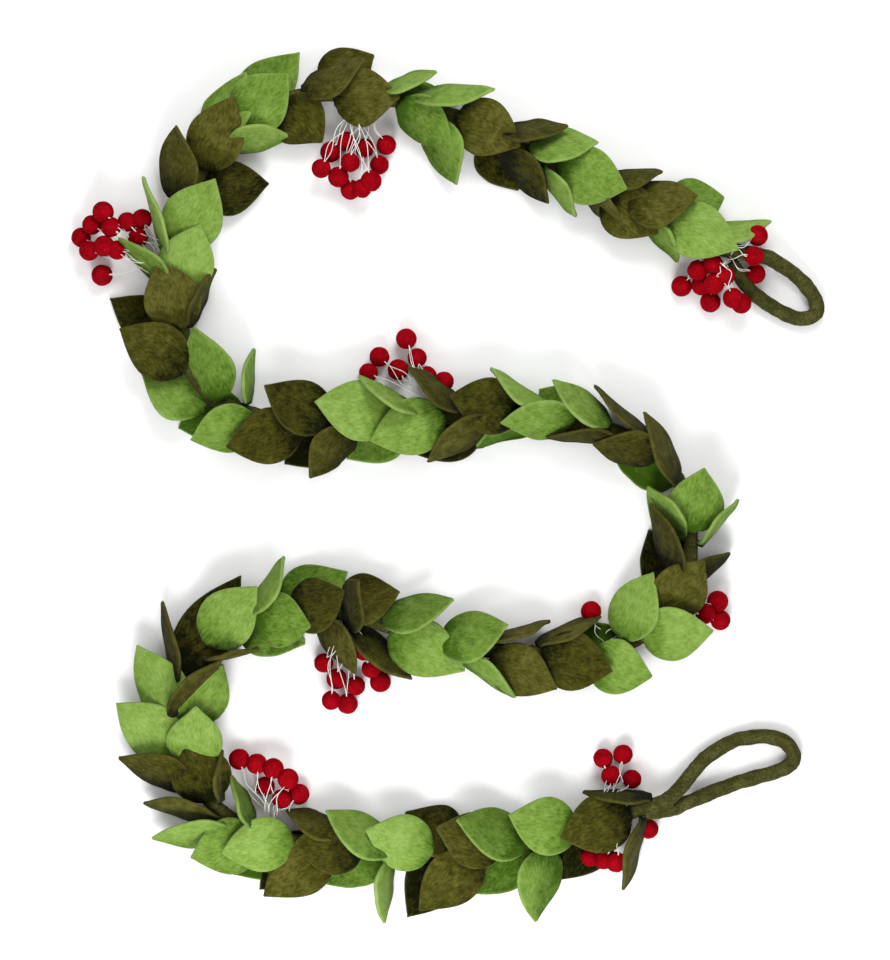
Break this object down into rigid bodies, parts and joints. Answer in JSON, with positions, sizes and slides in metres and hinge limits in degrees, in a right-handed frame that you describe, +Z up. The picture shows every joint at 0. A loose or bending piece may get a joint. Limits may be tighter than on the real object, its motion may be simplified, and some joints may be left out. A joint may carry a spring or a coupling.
{
  "type": "felt garland",
  "caption": "Garland of wool-felt leaves in two greens with red felt berries on threads, sewn along a felted rope with a hanging loop at each end, lying in an S curve.",
  "frame": {"origin": "on the surface, under the middle of the garland's box", "axes": "+Z up from the surface, +Y towards the top of the picture along the longest extent, +X to its right"},
  "size_m": [0.4868, 0.5611, 0.0417],
  "materials": {
    "light_felt": "thick wool felt, mottled leaf green",
    "dark_felt": "thick wool felt, mottled dark olive",
    "berry_felt": "wet-felted wool, deep red",
    "rope_felt": "rolled wool felt, dark olive",
    "thread": "white cotton thread"
  },
  "bodies": {
    "root": {"berries_01": "berry_felt", "berries_02": "berry_felt", "berries_03": "berry_felt", "berries_04": "berry_felt", "berries_05": "berry_felt", "berries_06": "berry_felt", "berries_07": "berry_felt", "berries_08": "berry_felt", "berries_09": "berry_felt", "berries_10": "berry_felt", "dark_leaves_01": "dark_felt", "dark_leaves_03": "dark_felt", "dark_leaves_05": "dark_felt", "dark_leaves_07": "dark_felt", "dark_leaves_09": "dark_felt", "dark_leaves_11": "dark_felt", "dark_leaves_13": "dark_felt", "dark_leaves_15": "dark_felt", "dark_leaves_17": "dark_felt", "dark_leaves_19": "dark_felt", "dark_leaves_21": "dark_felt", "dark_leaves_23": "dark_felt", "dark_leaves_25": "dark_felt", "dark_leaves_27": "dark_felt", "dark_leaves_29": "dark_felt", "dark_leaves_31": "dark_felt", "light_leaves_02": "light_felt", "light_leaves_04": "light_felt", "light_leaves_06": "light_felt", "light_leaves_08": "light_felt", "light_leaves_10": "light_felt", "light_leaves_12": "light_felt", "light_leaves_14": "light_felt", "light_leaves_16": "light_felt", "light_leaves_18": "light_felt", "light_leaves_20": "light_felt", "light_leaves_22": "light_felt", "light_leaves_24": "light_felt", "light_leaves_26": "light_felt", "light_leaves_28": "light_felt", "light_leaves_30": "light_felt", "light_leaves_32": "light_felt", "loop_lower": "rope_felt", "loop_upper": "rope_felt", "rope": "rope_felt"}
  },
  "joints": []
}
